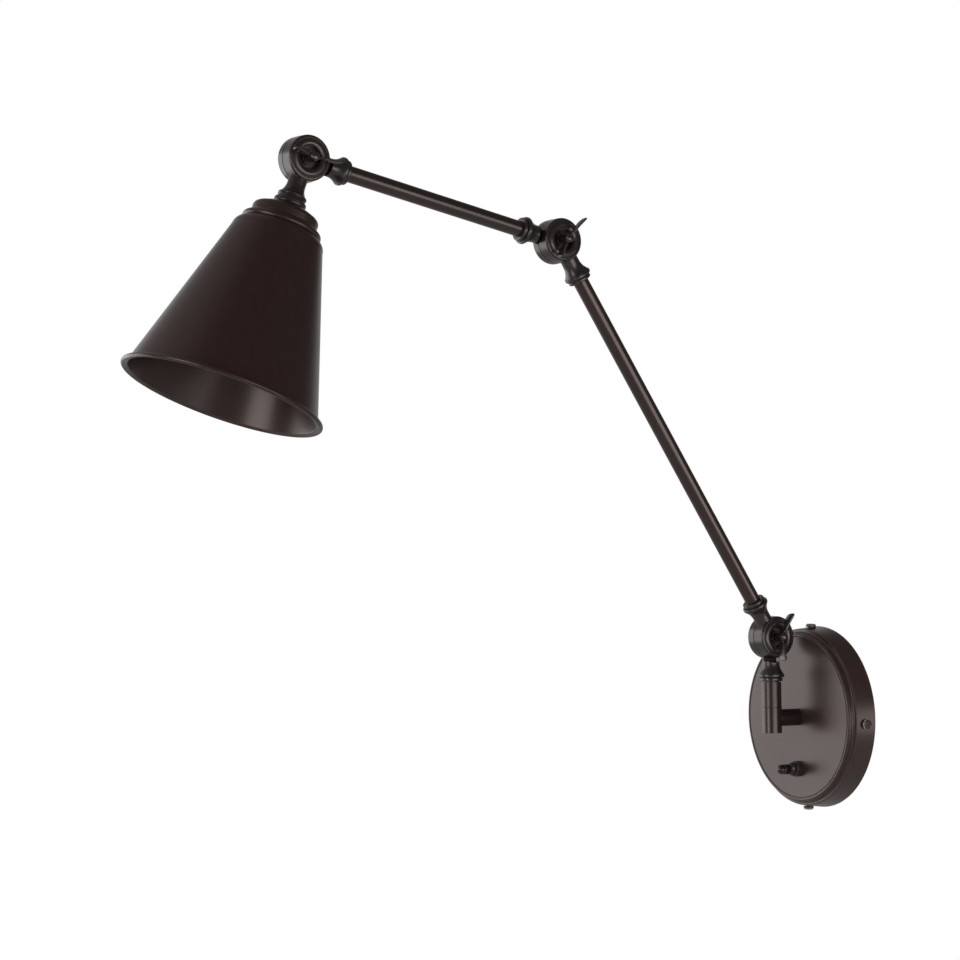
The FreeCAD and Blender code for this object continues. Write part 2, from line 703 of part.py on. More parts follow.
def arm_shank():
    """Corners along and across the shank of an arm's fitting: neck, bell and two rings."""
    bell = tangent_radius("bell_end - neck_end", "bell_radius - neck_radius")
    return [(SHANK_START, "0"), (SHANK_START, "neck_radius"), ("neck_end", "neck_radius", left(bell)),
            ("bell_end", "bell_radius"), ("bell_end", "ring_radius - ring_round", right("ring_round")),
            ("bell_end + ring_round", "ring_radius"), ("ring_end - ring_round", "ring_radius", right("ring_round")),
            ("ring_end", "ring_radius - ring_round"), ("ring_end", "small_ring_radius - small_ring_round"),
            ("ring_end + 0.2", "small_ring_radius - small_ring_round", right("small_ring_round")),
            ("ring_end + 0.2 + small_ring_round", "small_ring_radius"),
            ("small_ring_end - small_ring_round", "small_ring_radius", right("small_ring_round")),
            ("small_ring_end", "small_ring_radius - small_ring_round"), ("small_ring_end", "0")]


def head_shank():
    """Corners of the head's shorter shank: neck, bell, ring, thin ring."""
    bell = tangent_radius("bell_end - 0.4 - neck_end", "head_ring_radius - 0.5 - neck_radius")
    ring_top, ring_low = "bell_end - 0.4", "bell_end + 1.2"
    return [(SHANK_START, "0"), (SHANK_START, "neck_radius"), ("neck_end", "neck_radius", left(bell)),
            (ring_top, "head_ring_radius - 0.5", right("0.5")), (f"{ring_top} + 0.5", "head_ring_radius"),
            (f"{ring_low} - 0.5", "head_ring_radius", right("0.5")), (ring_low, "head_ring_radius - 0.5"),
            (f"{ring_low} + 0.2", "head_ring_radius - 0.8"), ("head_neck_end", "head_ring_radius - 0.5"),
            ("head_neck_end", "0")]


def knuckle_half(name, centre, axis, direction, front, shank, bore_cut, spigot=None):
    """One half of a knuckle with its shank, relief, cup and bores."""
    body = new_body(name)
    place = frame(centre, axis, direction)
    side = "front_shank_offset" if front else "-back_shank_offset"
    face = front_face() if front else back_face()
    disc = turn(body, name + "_disc", outline(body, name + "_disc_outline", "XZ_Plane", face))
    # Turned both ways from the drawing, so the seam lies behind, away from the shank.
    disc.Midplane = True
    turn(body, name + "_shank", outline(body, name + "_shank_outline", "XZ_Plane", shank, shift_y=side),
         axis="H_Axis")
    if spigot is not None:
        turn(body, name + "_spigot", outline(body, name + "_spigot_outline", "XZ_Plane", spigot, shift_y=side),
             axis="H_Axis")
    parting = "-parting_front" if front else "-parting_back"
    beyond = "-ring_radius - neck_radius" if front else "ring_radius + neck_radius"
    relief = [("0", parting), ("relief_radius", parting), ("relief_radius", beyond), ("0", beyond)]
    turn(body, name + "_relief", outline(body, name + "_relief_outline", "XZ_Plane", relief), cut=True)
    turn(body, name + "_bore", outline(body, name + "_bore_outline", "XZ_Plane", bore_cut, shift_y=side),
         cut=True, axis="H_Axis")
    wire = "front_wire_offset" if front else "-back_wire_offset"
    wire_end = "small_ring_end + spigot_length"
    hole = [("cup_radius - 1", "0"), ("cup_radius - 1", "wire_bore"), (wire_end, "wire_bore"), (wire_end, "0")]
    turn(body, name + "_wire", outline(body, name + "_wire_outline", "XZ_Plane", hole, shift_y=wire),
         cut=True, axis="H_Axis")
    return piece(body, name, place)


def socket_bore(depth_from, end, radius):
    """Corners of a plain blind bore along a shank."""
    return [(depth_from, "0"), (depth_from, radius), (f"{end} + slip", radius), (f"{end} + slip", "0")]


def knuckles():
    """The six knuckle halves and what sits between and in them."""
    tube_bore = socket_bore("small_ring_end - tube_socket", "small_ring_end", "tube_radius + running")
    head_bore = socket_bore("head_neck_end - tube_socket", "head_neck_end", "head_nipple_radius + running")
    spigot_bore = socket_bore("small_ring_end - tube_socket", "small_ring_end + spigot_length",
                              "swivel_bore - 2")
    spigot = [("small_ring_end - 1", "0"), ("small_ring_end - 1", "swivel_bore - running"),
              ("small_ring_end + spigot_length", "swivel_bore - running"), ("small_ring_end + spigot_length", "0")]
    knuckle_half("base_back_half", BASE, KNUCKLE_AXIS, -Z_AXIS, False, arm_shank(), spigot_bore, spigot)
    knuckle_half("base_front_half", BASE, KNUCKLE_AXIS, LONG_ARM, True, arm_shank(), tube_bore)
    knuckle_half("elbow_front_half", ELBOW, KNUCKLE_AXIS, -LONG_ARM, True, arm_shank(), tube_bore)
    knuckle_half("elbow_back_half", ELBOW, KNUCKLE_AXIS, SHORT_ARM, False, arm_shank(), tube_bore)
    knuckle_half("head_back_half", HEAD, HEAD_AXIS, -SHORT_ARM, False, arm_shank(), tube_bore)
    knuckle_half("head_front_half", HEAD, HEAD_AXIS, SHADE, True, head_shank(), head_bore)
    seat = "recess_floor + face_boss_height"
    for joint, centre, axis, wing_angle in (("base", BASE, KNUCKLE_AXIS, "base_wing_angle"),
                                            ("elbow", ELBOW, KNUCKLE_AXIS, "elbow_wing_angle"),
                                            ("head", HEAD, HEAD_AXIS, "head_wing_angle")):
        place = frame(centre, axis, arm_direction(size(wing_angle)))
        sleeve(f"{joint}_insert", place, "wing_screw_radius + running", "insert_radius",
               "-parting_back - insert_length", "-parting_back")
        sleeve(f"{joint}_friction_washer", place, "cup_radius + slip", "knuckle_radius - 2 * slip",
               "-parting_back", "-parting_front - face_gap")
        sleeve(f"{joint}_thrust_washer", place, "wing_screw_radius + slip", "thrust_washer_radius",
               seat, f"{seat} + thrust_washer_wall")
        wing_screw(f"{joint}_wing_screw", place)


def wing_screw(name, place):
    """Cast thumb screw: shank, domed hub and two swept wings."""
    body = new_body(name)
    hub_low = "recess_floor + face_boss_height + thrust_washer_wall + face_gap"
    points = [("0", "-parting_back - insert_length + 3 * slip"),
              ("wing_screw_radius", "-parting_back - insert_length + 3 * slip"),
              ("wing_screw_radius", hub_low), ("hub_radius", hub_low),
              ("hub_radius", "hub_end - hub_round", left("hub_round")), ("hub_radius - hub_round", "hub_end"),
              ("0", "hub_end")]
    turn(body, name + "_turned", outline(body, name + "_outline", "XZ_Plane", points))
    # Each wing is a leaf: low corner, round outer end, pointed top, edge swooping back to the hub.
    half_end = "(wing_top_height - wing_low_height) / 2"
    end = left(tangent_radius(half_end, "wing_span - (wing_low_reach + wing_top_reach) / 2"))
    wing = [("1", "wing_root_low"), ("wing_low_reach", "wing_low_height", end),
            ("wing_top_reach", "wing_top_height", right("wing_swoop")),
            ("hub_radius + 1", "wing_root_high"), ("1", "wing_root_high")]
    other = []
    for index in range(len(wing) - 1, -1, -1):
        arc = wing[index - 1][2:] if index else ()
        other.append((f"-({wing[index][0]})", wing[index][1], *arc))
    pad = body.newObject("PartDesign::Pad", name + "_wings")
    pad.Profile = (outline(body, name + "_wing_outline", "XZ_Plane", wing + other), [""])
    pad.Midplane = True
    bind(pad, Length="wing_thickness")
    return piece(body, name, place)


# Tubes and the leads inside them.

def arm_tube(name, start, direction, length, offset):
    """Steel tube between two knuckle halves."""
    place = frame(start + KNUCKLE_AXIS * size(offset), direction, KNUCKLE_AXIS)
    end = "small_ring_end - tube_socket + slip"
    return sleeve(name, place, "tube_radius - tube_wall", "tube_radius", end, f"{length} - ({end})")


def lead(name, start, direction, offset, low, high):
    """Two-core lead that runs straight through a shank and its tube."""
    place = frame(start + KNUCKLE_AXIS * size(offset), direction, KNUCKLE_AXIS)
    return sleeve(name, place, "0", "lead_radius", low, high)


def arms():
    """Tubes and leads of both arms, and the leads in the swivel and the post."""
    arm_tube("long_arm_tube", BASE, LONG_ARM, "long_arm_length", "front_shank_offset")
    arm_tube("short_arm_tube", ELBOW, SHORT_ARM, "short_arm_length", "-back_shank_offset")
    inner = "cup_radius - 1.5"
    lead("long_arm_lead", BASE, LONG_ARM, "front_wire_offset", inner, f"long_arm_length - ({inner})")
    lead("short_arm_lead", ELBOW, SHORT_ARM, "-back_wire_offset", inner, f"short_arm_length - ({inner})")
    lead("swivel_lead", BASE, -Z_AXIS, "-back_wire_offset", inner, "knuckle_height - stud_length - 1")
    head_frame = frame(HEAD + HEAD_AXIS * size("front_wire_offset"), SHADE, HEAD_AXIS)
    sleeve("head_lead", head_frame, "0", "lead_radius", inner, "holder_start + holder_floor")
    resting = shifted(WALL, y="lead_radius + slip - post_bore")
    sleeve("post_lead", resting, "0", "lead_radius", "post_thread_end - 2", "barrel_reach + 1")


# Shade stack, all turned about the shade's axis.

def shade_stack():
    """Collar, cap, bead ring and shade, with the nipple and nut that hold them."""
    hole = "head_nipple_radius + slip"
    turned("neck_collar", [(hole, "head_neck_end")]
           + rounded_end("collar_radius", "head_neck_end", "collar_end", "collar_round")
           + [(hole, "collar_end")], SHADE_AXIS)
    shoulder = "cap_radius - cap_top_radius"
    turned("shade_cap", [
        (hole, "collar_end"),
        (hole, "collar_end + shade_wall"),
        ("collar_radius", "collar_end + shade_wall"),
        ("cap_top_radius - shade_wall", "cap_shoulder + shade_wall"),
        ("cap_radius - shade_wall", "cap_side_start + 0.5"),
        ("cap_radius - shade_wall", "cap_end"),
        ("cap_radius", "cap_end"),
        ("cap_radius", "cap_side_start", right(f"1.15 * ({shoulder})")),
        ("cap_top_radius", "cap_shoulder", right("cap_top_radius * 3")),
        ("collar_radius", "collar_end"),
    ], SHADE_AXIS)
    cove = tangent_radius("1.5", "bead_ring_radius - 1.75 - cap_radius")
    turned("bead_ring", [
        ("bead_ring_bore", "cap_end"),
        ("bead_ring_bore", "bead_ring_end"),
        ("bead_ring_radius - 0.9", "bead_ring_end", right("bead_ring_round")),
        ("bead_ring_radius - 1.75", "cap_end + 1.5", left(cove)),
        ("cap_radius", "cap_end"),
    ], SHADE_AXIS)
    top = "bead_ring_end"
    turned("shade", [
        ("shade_hole_radius", top),
        ("shade_hole_radius", f"{top} + shade_wall"),
        ("shoulder_radius - shade_wall", f"{top} + shade_wall"),
        ("cone_start_radius - shade_wall", "cone_start + 0.3 * shade_wall"),
        ("cone_end_radius - shade_wall", "cone_end + 0.3 * shade_wall"),
        ("cone_end_radius + rim_bead_radius", "cone_end + rim_bead_radius", right("rim_bead_radius")),
        ("cone_end_radius + rim_bead_radius", "cone_end - rim_bead_radius", left("rim_bead_radius")),
        ("cone_end_radius - 0.6", "cone_end - rim_bead_radius - 0.6"),
        ("cone_start_radius", "cone_start", right("shoulder_round")),
        ("shoulder_radius", top),
    ], SHADE_AXIS)
    sleeve("head_nipple", SHADE_AXIS, "head_nipple_bore", "head_nipple_radius",
           "head_neck_end - tube_socket + slip", "holder_start + holder_floor")
    hex_nut("head_nut", SHADE_AXIS, "post_nut_flats", "head_nipple_radius + running",
            "collar_end + shade_wall", "head_nut_height")


def lamp_holder():
    """Screw-shell lamp holder with the ring nut that clamps the shade."""
    wall = "holder_radius - holder_wall"
    floor = "holder_start + holder_floor"
    turned("holder_body", [
        ("head_nipple_radius + running", "holder_start"), ("holder_radius", "holder_start"),
        ("holder_radius", "holder_end"), (wall, "holder_end"), (wall, floor),
        ("head_nipple_radius + running", floor)], SHADE_AXIS)
    turned("holder_shell", [
        ("contact_radius + 1.5", "shell_start"), (wall + " - slip", "shell_start"),
        (wall + " - slip", "shell_start + shell_wall"), ("shell_radius + shell_wall", "shell_start + shell_wall"),
        ("shell_radius + shell_wall", "holder_end - 1"), ("shell_radius", "holder_end - 1"),
        ("shell_radius", "shell_start + 2 * shell_wall"), ("contact_radius + 1.5", "shell_start + 2 * shell_wall"),
    ], SHADE_AXIS)
    turned("holder_insulator", [
        ("0", floor), (wall + " - slip", floor), (wall + " - slip", "shell_start"), ("0", "shell_start")],
        SHADE_AXIS)
    turned("holder_contact", [
        ("0", "shell_start"), ("contact_radius", "shell_start"), ("contact_radius", "shell_start + shell_wall"),
        ("0", "shell_start + 2 * shell_wall")], SHADE_AXIS)
    sleeve("shade_nut", SHADE_AXIS, "holder_radius + running", "shade_nut_radius",
           "bead_ring_end + shade_wall", "bead_ring_end + shade_wall + shade_nut_height")


# Switch: a rotary canopy switch held by a ring nut.

SWITCH = shifted(WALL, y="-switch_drop")


def switch():
    """Housing behind the canopy, bushing through it, ring nut, knob and its shaft."""
    inside = "canopy_depth - sheet_wall"
    corner = shifted(SWITCH, x="-switch_width / 2", y="-switch_height / 2", z=f"{inside} - switch_depth")
    block = solid("Part::Box", corner, Length="switch_width", Width="switch_height", Height="switch_depth")
    bore = solid("Part::Cylinder", shifted(SWITCH, z=f"{inside} - 4"), Radius="bushing_radius + running",
                 Height="5")
    housing = doc.addObject("Part::Cut")
    housing.Base = block
    housing.Tool = bore
    piece(housing, "switch_housing")
    sleeve("switch_bushing", SWITCH, "knob_shaft_radius + running", "bushing_radius",
           f"{inside} - 4", "canopy_depth + bushing_rise")
    nut_top = "canopy_depth + ring_nut_height"
    body = new_body("switch_ring_nut")
    points = [("bushing_radius + running", "canopy_depth")] \
        + rounded_end("ring_nut_radius", "canopy_depth", nut_top, "0.6") \
        + [("bushing_radius + running", nut_top)]
    turn(body, "ring_nut_turned", outline(body, "ring_nut_outline", "XZ_Plane", points))
    notch = circles(body, "ring_nut_notch_circle", "XY_Plane", [("ring_nut_radius", "0")], "ring_nut_notch")
    first = cut_through(body, "ring_nut_notch", notch)
    pattern = body.newObject("PartDesign::PolarPattern", "ring_nut_notches")
    pattern.Originals = [first]
    pattern.Axis = (notch, ["N_Axis"])
    pattern.Angle = 360
    pattern.Occurrences = 16
    body.Tip = pattern
    piece(body, "switch_ring_nut", SWITCH)
    skirt = "canopy_depth + bushing_rise + 2 * face_gap"
    end = "canopy_depth + bushing_rise + knob_length"
    turned("switch_knob", [
        ("knob_shaft_radius", skirt), ("knob_skirt_radius - 0.4", skirt, left("0.4")),
        ("knob_skirt_radius", f"{skirt} + 0.4"), ("knob_skirt_radius - 0.2", f"{skirt} + knob_skirt_height"),
        ("knob_radius", f"{skirt} + knob_skirt_height + 0.7"),
        ("knob_radius", f"{end} - 0.8 * knob_radius", left("knob_radius * 1.02")), ("0.2", end), ("0", end),
        ("0", f"{end} - knob_radius - 2"), ("knob_shaft_radius", f"{end} - knob_radius - 2")], SWITCH)
    sleeve("switch_shaft", SWITCH, "0", "knob_shaft_radius", f"{inside} - 3.9", f"{end} - knob_radius - 2")


canopy_cover()
mounting_plate()
side_screws()
ground_screw()
post()
fixed_barrel()
swivel_parts()
knuckles()
arms()
shade_stack()
lamp_holder()
switch()

doc.recompute()
faults = [item.Label for item in doc.Objects if {"Invalid", "Error"} & set(item.State)]
faults += [item.Label for item in PIECES if item.Shape.isNull() or not item.Shape.isValid()]
if faults:
    raise SystemExit("These did not build: " + ", ".join(faults))
os.makedirs("parts", exist_ok=True)
for item in PIECES:
    item.Shape.exportStep(f"parts/{item.Label}.step")
    print(item.Label, len(item.Shape.Solids), round(item.Shape.Volume, 1))
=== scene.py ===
import json
from math import atan2, cos, hypot, radians, sin, tau
import bpy
from mathutils import Matrix, Vector


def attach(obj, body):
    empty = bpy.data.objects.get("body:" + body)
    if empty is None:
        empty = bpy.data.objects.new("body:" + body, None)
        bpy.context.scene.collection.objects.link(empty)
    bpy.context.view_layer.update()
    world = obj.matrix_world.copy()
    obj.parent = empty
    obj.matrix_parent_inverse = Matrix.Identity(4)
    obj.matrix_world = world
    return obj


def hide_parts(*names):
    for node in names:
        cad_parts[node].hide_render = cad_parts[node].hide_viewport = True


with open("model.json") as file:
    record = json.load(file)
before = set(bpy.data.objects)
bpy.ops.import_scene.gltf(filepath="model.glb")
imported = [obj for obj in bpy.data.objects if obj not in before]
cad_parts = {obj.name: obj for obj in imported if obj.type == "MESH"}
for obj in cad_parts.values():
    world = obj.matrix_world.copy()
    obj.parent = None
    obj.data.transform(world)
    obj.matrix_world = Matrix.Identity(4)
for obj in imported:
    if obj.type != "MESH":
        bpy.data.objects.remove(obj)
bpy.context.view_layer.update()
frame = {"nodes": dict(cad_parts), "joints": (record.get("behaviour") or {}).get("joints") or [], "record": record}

bpy.ops.object.select_all(action="DESELECT")


# Canopy: a dish spun from steel sheet and painted in a satin, near-black bronze.
# All the outer parts share this paint. It has a red or an olive cast from place to
# place, a fine orange peel, and wears to a paler brown where hands rub its edges.
# Each part's base colour below is matched to how light or dark that part looks, so the differences between the
# parts' colours are partly painted light and painted shade.

MM = 0.001
CANOPY_BRONZE, WORN_BRONZE = (0.030, 0.0175, 0.0145), (0.085, 0.055, 0.040)
RED_CAST, OLIVE_CAST, DARK_SPECK = (1.22, 1.0, 0.92), (0.84, 0.98, 1.02), (0.5, 0.5, 0.5)
MOTTLE_SCALE, PEEL_SCALE, PEEL_DEPTH = 240.0, 1100.0, 0.3
# Wear starts and is full where the softened normal leans off the true one by these cosines.
WEAR_STARTS, WEAR_FULL = 0.985, 0.86


def noise(tree, place, scale, detail):
    """A noise of the object's own coordinates."""
    texture = tree.nodes.new("ShaderNodeTexNoise")
    texture.inputs["Scale"].default_value = scale
    texture.inputs["Detail"].default_value = detail
    tree.links.new(place, texture.inputs["Vector"])
    return texture.outputs["Fac"]


def spread(tree, value, low, high, start=0.3, end=0.7):
    """Stretches the span from start to end of a value over the span from low to high."""
    limits = tree.nodes.new("ShaderNodeMapRange")
    limits.inputs["From Min"].default_value = start
    limits.inputs["From Max"].default_value = end
    limits.inputs["To Min"].default_value = low
    limits.inputs["To Max"].default_value = high
    tree.links.new(value, limits.inputs["Value"])
    return limits.outputs["Result"]


def combined(tree, operation, one, other):
    """Two values multiplied, or the greater of them."""
    maths = tree.nodes.new("ShaderNodeMath")
    maths.operation = operation
    tree.links.new(one, maths.inputs[0])
    tree.links.new(other, maths.inputs[1])
    return maths.outputs["Value"]


def agreement(tree, direction, other):
    """How far a direction agrees with another, which is a socket or three numbers."""
    product = tree.nodes.new("ShaderNodeVectorMath")
    product.operation = "DOT_PRODUCT"
    tree.links.new(direction, product.inputs[0])
    if isinstance(other, tuple):
        product.inputs[1].default_value = other
    else:
        tree.links.new(other, product.inputs[1])
    return product.outputs["Value"]


def mixed(tree, factor, one, other):
    """Colour between two others; each is a socket or a plain colour."""
    blend = tree.nodes.new("ShaderNodeMix")
    blend.data_type = "RGBA"
    tree.links.new(factor, blend.inputs["Factor"])
    for socket, colour in (("A", one), ("B", other)):
        if isinstance(colour, tuple):
            blend.inputs[socket].default_value = (*colour, 1)
        else:
            tree.links.new(colour, blend.inputs[socket])
    return blend.outputs["Result"]


def tinted(colour, tint):
    """A plain colour with its red, green and blue scaled."""
    return tuple(part * share for part, share in zip(colour, tint))


def rubbed_edges(tree, width):
    """Softened normal of the edges, and a mask that is 1 on them."""
    soft = tree.nodes.new("ShaderNodeBevel")
    soft.samples = 8
    soft.inputs["Radius"].default_value = width * MM
    surface = tree.nodes.new("ShaderNodeNewGeometry")
    flatness = agreement(tree, soft.outputs["Normal"], surface.outputs["Normal"])
    return soft.outputs["Normal"], spread(tree, flatness, 0, 1, WEAR_STARTS, WEAR_FULL)


def new_material(name, metal):
    """An empty Principled material and what its nodes need."""
    material = bpy.data.materials.new(name)
    material.use_nodes = True
    tree = material.node_tree
    shader = tree.nodes["Principled BSDF"]
    shader.inputs["Metallic"].default_value = metal
    shader.inputs["Specular IOR Level"].default_value = 0.5
    place = tree.nodes.new("ShaderNodeTexCoord").outputs["Object"]
    return material, tree, shader, place


def bumped(tree, shader, height, strength, depth, normal):
    """Bump of a height, on top of a softened normal."""
    bump = tree.nodes.new("ShaderNodeBump")
    bump.inputs["Strength"].default_value = strength
    bump.inputs["Distance"].default_value = depth * MM
    tree.links.new(height, bump.inputs["Height"])
    tree.links.new(normal, bump.inputs["Normal"])
    tree.links.new(bump.outputs["Normal"], shader.inputs["Normal"])


def bronze_paint(name, colour, dull, peel=0.05, wear=0.5, cloud=11.0, pale_colour=WORN_BRONZE, edge=0.35,
                 ior=1.5, gloss_tint=(1.0, 0.83, 0.80)):
    """Satin bronze paint: cloudy colour, fine orange peel, softened and rubbed edges."""
    material, tree, shader, place = new_material(name, 0.0)
    shader.inputs["Specular Tint"].default_value = (*gloss_tint, 1)
    shader.inputs["IOR"].default_value = ior
    clouds = noise(tree, place, cloud, 5.0)
    mottle = noise(tree, place, MOTTLE_SCALE, 3.0)
    cast = mixed(tree, spread(tree, clouds, 0, 1), tinted(colour, RED_CAST), tinted(colour, OLIVE_CAST))
    speckled = mixed(tree, spread(tree, mottle, 0, 0.35), cast, tinted(colour, DARK_SPECK))
    normal, edges = rubbed_edges(tree, edge)
    pale_mask = combined(tree, "MULTIPLY", spread(tree, edges, 0, wear, 0, 1), spread(tree, mottle, 0.5, 1))
    tree.links.new(mixed(tree, pale_mask, speckled, pale_colour), shader.inputs["Base Color"])
    tree.links.new(spread(tree, clouds, dull - 0.04, dull + 0.06), shader.inputs["Roughness"])
    bumped(tree, shader, noise(tree, place, PEEL_SCALE, 2.0), peel, PEEL_DEPTH, normal)
    return material


def coat(material, *names):
    """Gives CAD nodes their material."""
    for name in names:
        for slot in frame["nodes"][name].material_slots:
            slot.material = material


coat(bronze_paint("canopy_paint", CANOPY_BRONZE, dull=0.30), "canopy_cover")


# Mounting plate: a strip of zinc-plated steel bent and pierced in a press, screwed to the
# wall box. The washers, the hexagon nuts and the swivel's stud and pin are plated alike.

STAIN_SCALE, GRAIN_SCALE, GRAIN_DEPTH, GRAIN_EDGE = 70.0, 420.0, 0.15, 0.2
STAIN_SPECK = (0.6, 0.6, 0.6)


def bare_surface(name, metal, colour, stain, worn, dull, bump=0.15):
    """Unpainted stuff: two mixed colours, grain in the bump, paler or darker edges."""
    material, tree, shader, place = new_material(name, metal)
    clouds = noise(tree, place, STAIN_SCALE, 4.0)
    fine = noise(tree, place, GRAIN_SCALE, 3.0)
    patches = mixed(tree, spread(tree, clouds, 0, 1), colour, stain)
    speckled = mixed(tree, spread(tree, fine, 0, 0.4), patches, tinted(stain, STAIN_SPECK))
    normal, edges = rubbed_edges(tree, GRAIN_EDGE)
    pale_mask = combined(tree, "MULTIPLY", edges, spread(tree, fine, 0.3, 1))
    tree.links.new(mixed(tree, pale_mask, speckled, worn), shader.inputs["Base Color"])
    tree.links.new(spread(tree, clouds, dull - 0.06, dull + 0.10), shader.inputs["Roughness"])
    bumped(tree, shader, fine, bump, GRAIN_DEPTH, normal)
    return material


zinc = bare_surface("zinc_plated_steel", metal=1.0, colour=(0.62, 0.63, 0.64), stain=(0.46, 0.47, 0.49),
                    worn=(0.75, 0.75, 0.75), dull=0.36)
coat(zinc, "mounting_plate", "post_washer", "post_nut", "swivel_stud", "swivel_washer", "swivel_nut",
     "stop_pin", "head_nut", "head_nipple")


# Side screws: four short pan-head steel screws with a cross recess, blackened. The grey ring
# on their rounded shoulders is a painted highlight. The thrust washers take the same near-black paint.

# A painted highlight: a grey ring round each side screw's shoulder, faded in and out and broken up by noise.
SHOULDER_START, SHOULDER_END, SHOULDER_FADE = 60.7 * MM, 61.75 * MM, 0.2 * MM
SHOULDER_HIGHLIGHT_GREY = (0.26, 0.25, 0.235)
HIGHLIGHT_BREAKUP_SCALE = 900.0


def paint_shoulder_highlight(material, pale_colour):
    """Paints a grey ring, a painted highlight, on the screws' rounded shoulders, which lie between two distances
    from the canopy's axis.
    """
    tree = material.node_tree
    colour = tree.nodes["Principled BSDF"].inputs["Base Color"]
    radial = tree.nodes.new("ShaderNodeVectorMath")
    radial.operation = "MULTIPLY"
    radial.inputs[1].default_value = (1, 0, 1)
    tree.links.new(tree.nodes["Texture Coordinate"].outputs["Object"], radial.inputs[0])
    distance = tree.nodes.new("ShaderNodeVectorMath")
    distance.operation = "LENGTH"
    tree.links.new(radial.outputs["Vector"], distance.inputs[0])
    past_start = spread(tree, distance.outputs["Value"], 0, 1, SHOULDER_START, SHOULDER_START + SHOULDER_FADE)
    before_end = spread(tree, distance.outputs["Value"], 1, 0, SHOULDER_END - SHOULDER_FADE, SHOULDER_END)
    ring = combined(tree, "MULTIPLY", past_start, before_end)
    highlight_breakup = spread(tree, noise(tree, radial.outputs["Vector"], HIGHLIGHT_BREAKUP_SCALE, 2.0), 0.35, 1)
    pale_mask = combined(tree, "MULTIPLY", ring, highlight_breakup)
    tree.links.new(mixed(tree, pale_mask, colour.links[0].from_socket, pale_colour), colour)


# This near-black paint goes pale grey along all its edges. That is partly wear and partly a painted highlight,
# which gives the thrust washers bright arcs.
screw_black = bronze_paint("blackened_screw", (0.012, 0.011, 0.011), dull=0.26, cloud=150.0, wear=1.0,
                           pale_colour=(0.34, 0.33, 0.31), edge=0.13)
# The grey ring on the screws' shoulders is a painted highlight.
paint_shoulder_highlight(screw_black, SHOULDER_HIGHLIGHT_GREY)
coat(screw_black, "canopy_screws", "base_thrust_washer", "elbow_thrust_washer", "head_thrust_washer")


# Ground screw: a green hexagon-head screw in the mounting plate, painted so that the
# earth wire's place is known. Its corners show the steel.

ground_green = bare_surface("ground_green", metal=0.0, colour=(0.02, 0.19, 0.07), stain=(0.015, 0.13, 0.05),
                            worn=(0.30, 0.32, 0.30), dull=0.4)
coat(ground_green, "ground_screw")


# Switch: a rotary canopy switch. Its moulded housing hangs behind the canopy on a threaded
# bushing; a knurled ring nut holds it from the front, and a turned knob sits on its shaft.

# Profiles are pairs of radius and height in mm. Here the height is measured out from the wall.
KNOB_PROFILE = ((0.3, 29.0), (1.5, 29.0), (1.5, 22.4), (3.8, 22.4), (4.3, 22.8), (4.25, 23.7), (3.4, 24.3),
                (2.8, 24.9), (3.2, 25.5), (3.3, 26.0), (3.3, 29.7), (2.95, 29.9), (2.95, 30.3), (3.3, 30.5),
                (3.25, 31.6), (2.9, 32.8), (2.1, 33.7), (1.1, 34.2), (0.2, 34.3))
RING_NUT_PROFILE = ((3.95, 17.7), (4.95, 17.7), (4.95, 20.9), (4.5, 21.5), (4.2, 21.9), (3.95, 21.9))
KNOB_SIDES, RING_NUT_SIDES = 40, 48
KNURL_DEPTH, KNURL_LOW, KNURL_HIGH, KNURL_REACH = 0.22, 18.0, 20.9, 4.8
SAME_POINT = 0.001 * MM


def in_edit_mode(thing, select="SELECT"):
    """Goes into edit mode with everything selected or nothing."""
    bpy.context.view_layer.objects.active = thing
    bpy.ops.object.mode_set(mode="EDIT")
    bpy.ops.mesh.select_mode(type="VERT")
    bpy.ops.mesh.select_all(action=select)


def pick_faces(thing, test):
    """In edit mode, selects only the faces whose middle, in mm, passes the test."""
    in_edit_mode(thing, "DESELECT")
    bpy.ops.mesh.select_mode(type="FACE")
    bpy.ops.object.mode_set(mode="OBJECT")
    for face in thing.data.polygons:
        face.select = test(face.center / MM)
    bpy.ops.object.mode_set(mode="EDIT")


def draw_out(x, y, z):
    """Extrudes what is selected by a step in mm."""
    bpy.ops.mesh.extrude_region_move(TRANSFORM_OT_translate={"value": (x * MM, y * MM, z * MM)})


def lathe(name, sides, profile, closed=False):
    """Turned piece on Z: a ring drawn out from radius to radius up the profile."""
    radius, height = profile[0]
    bpy.ops.mesh.primitive_circle_add(vertices=sides, radius=radius * MM, location=(0, 0, height * MM))
    turned = bpy.context.object
    turned.name = name
    bpy.ops.object.transform_apply(location=True)
    in_edit_mode(turned)
    if not closed:
        bpy.ops.mesh.edge_face_add()
    for next_radius, next_height in profile[1:] + profile[:1] * closed:
        draw_out(0, 0, next_height - height)
        grow = next_radius / radius
        bpy.ops.transform.resize(value=(grow, grow, 1), center_override=(0, 0, next_height * MM))
        radius, height = next_radius, next_height
    bpy.ops.mesh.select_all(action="SELECT")
    bpy.ops.mesh.remove_doubles(threshold=SAME_POINT)
    bpy.ops.mesh.normals_make_consistent(inside=False)
    bpy.ops.object.mode_set(mode="OBJECT")
    return turned


def ribbed(turned, sides, rib, low, high, reach):
    """Draws out every other side face between two heights, as ribs or a knurl."""
    def on_a_rib(middle):
        around = round(atan2(middle.y, middle.x) % tau / tau * sides - 0.5)
        return low < middle.z < high and hypot(middle.x, middle.y) >= reach and around % 2 == 0

    pick_faces(turned, on_a_rib)
    bpy.ops.mesh.extrude_region_move()
    grow = 1 + rib / reach
    bpy.ops.transform.resize(value=(grow, grow, 1), center_override=(0, 0, 0))
    bpy.ops.object.mode_set(mode="OBJECT")


